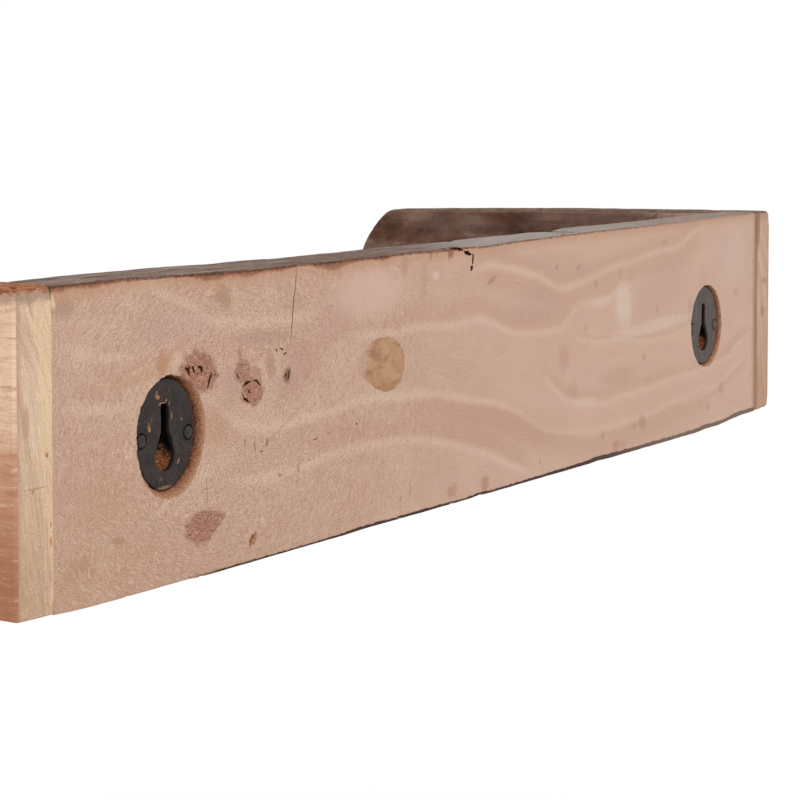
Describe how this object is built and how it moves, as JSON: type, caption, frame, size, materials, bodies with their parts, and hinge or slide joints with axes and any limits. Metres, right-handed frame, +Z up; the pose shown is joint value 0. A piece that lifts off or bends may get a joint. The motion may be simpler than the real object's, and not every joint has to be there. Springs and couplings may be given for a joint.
{
  "type": "wall shelf",
  "caption": "Wall shelf of old boards: a back board and a shelf board between two cheeks with rounded noses, hung on screws by iron keyhole plates let into its back.",
  "frame": {"origin": "on the wall face of the back board, midway between the two hanging screws", "axes": "+Z up, +X to the right seen from the front, +Y into the wall; the shelf reaches out to -Y"},
  "size_m": [0.68, 0.283, 0.1249],
  "materials": {
    "back_wood": "freshly sanded pinkish hardwood on the wall side, old brown surface in front",
    "cheek_wood": "sanded hardwood outside, old dark brown surface inside",
    "shelf_wood": "old dark brown worn hardwood",
    "dowel_wood": "plain turned wood",
    "putty": "sanded wood putty",
    "plate_iron": "charcoal black worn iron",
    "nail_iron": "dark dull iron"
  },
  "bodies": {
    "root": {"back_board": "back_wood", "left_cheek": "cheek_wood", "right_cheek": "cheek_wood", "shelf_board": "shelf_wood", "filler_patch": "putty", "left_keyhole_plate": "plate_iron", "right_keyhole_plate": "plate_iron", "left_plate_nail_1": "nail_iron", "left_plate_nail_2": "nail_iron", "right_plate_nail_1": "nail_iron", "right_plate_nail_2": "nail_iron", "left_back_dowel_1": "dowel_wood", "left_back_dowel_2": "dowel_wood", "left_shelf_dowel_1": "dowel_wood", "left_shelf_dowel_2": "dowel_wood", "left_shelf_dowel_3": "dowel_wood", "right_back_dowel_1": "dowel_wood", "right_back_dowel_2": "dowel_wood", "right_shelf_dowel_1": "dowel_wood", "right_shelf_dowel_2": "dowel_wood", "right_shelf_dowel_3": "dowel_wood", "rear_dowel_1": "dowel_wood", "rear_dowel_2": "dowel_wood", "rear_dowel_3": "dowel_wood", "rear_dowel_4": "dowel_wood"}
  },
  "joints": []
}
